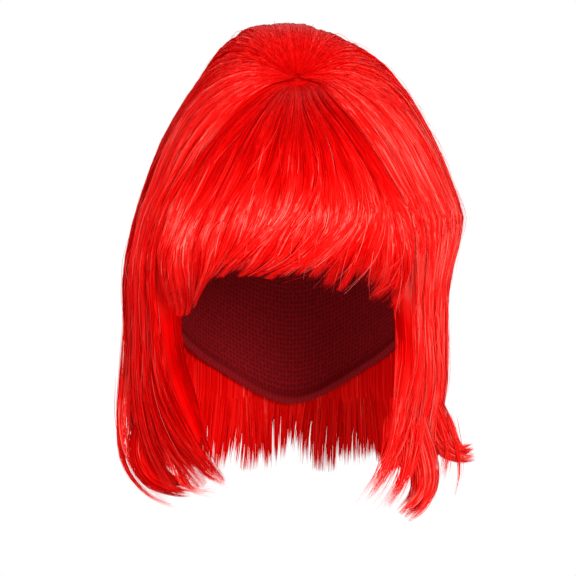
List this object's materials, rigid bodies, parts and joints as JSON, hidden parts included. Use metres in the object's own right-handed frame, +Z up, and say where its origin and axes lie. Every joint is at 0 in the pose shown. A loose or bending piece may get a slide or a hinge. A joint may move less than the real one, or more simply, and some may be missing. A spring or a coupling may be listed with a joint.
{
  "type": "beehive wig",
  "caption": "Red beehive wig with a teased high crown combed out from a front whorl, a swept fringe, straight side locks with flicked ends and an open head hollow.",
  "frame": {"origin": "inside top of the cap, where the crown of the head sits", "axes": "+X to the wearer's left, +Y to the back of the head, +Z up"},
  "size_m": [0.1906, 0.2282, 0.2675],
  "materials": {
    "hair": "glossy synthetic fibre",
    "wig_cap": "matt stretch mesh"
  },
  "bodies": {
    "root": {"cap": "wig_cap", "fringe": "hair", "face_lock_left": "hair", "face_lock_right": "hair", "side_hair_left": "hair", "side_hair_right": "hair", "crown_hair": "hair", "nape_hair": "hair"}
  },
  "joints": []
}
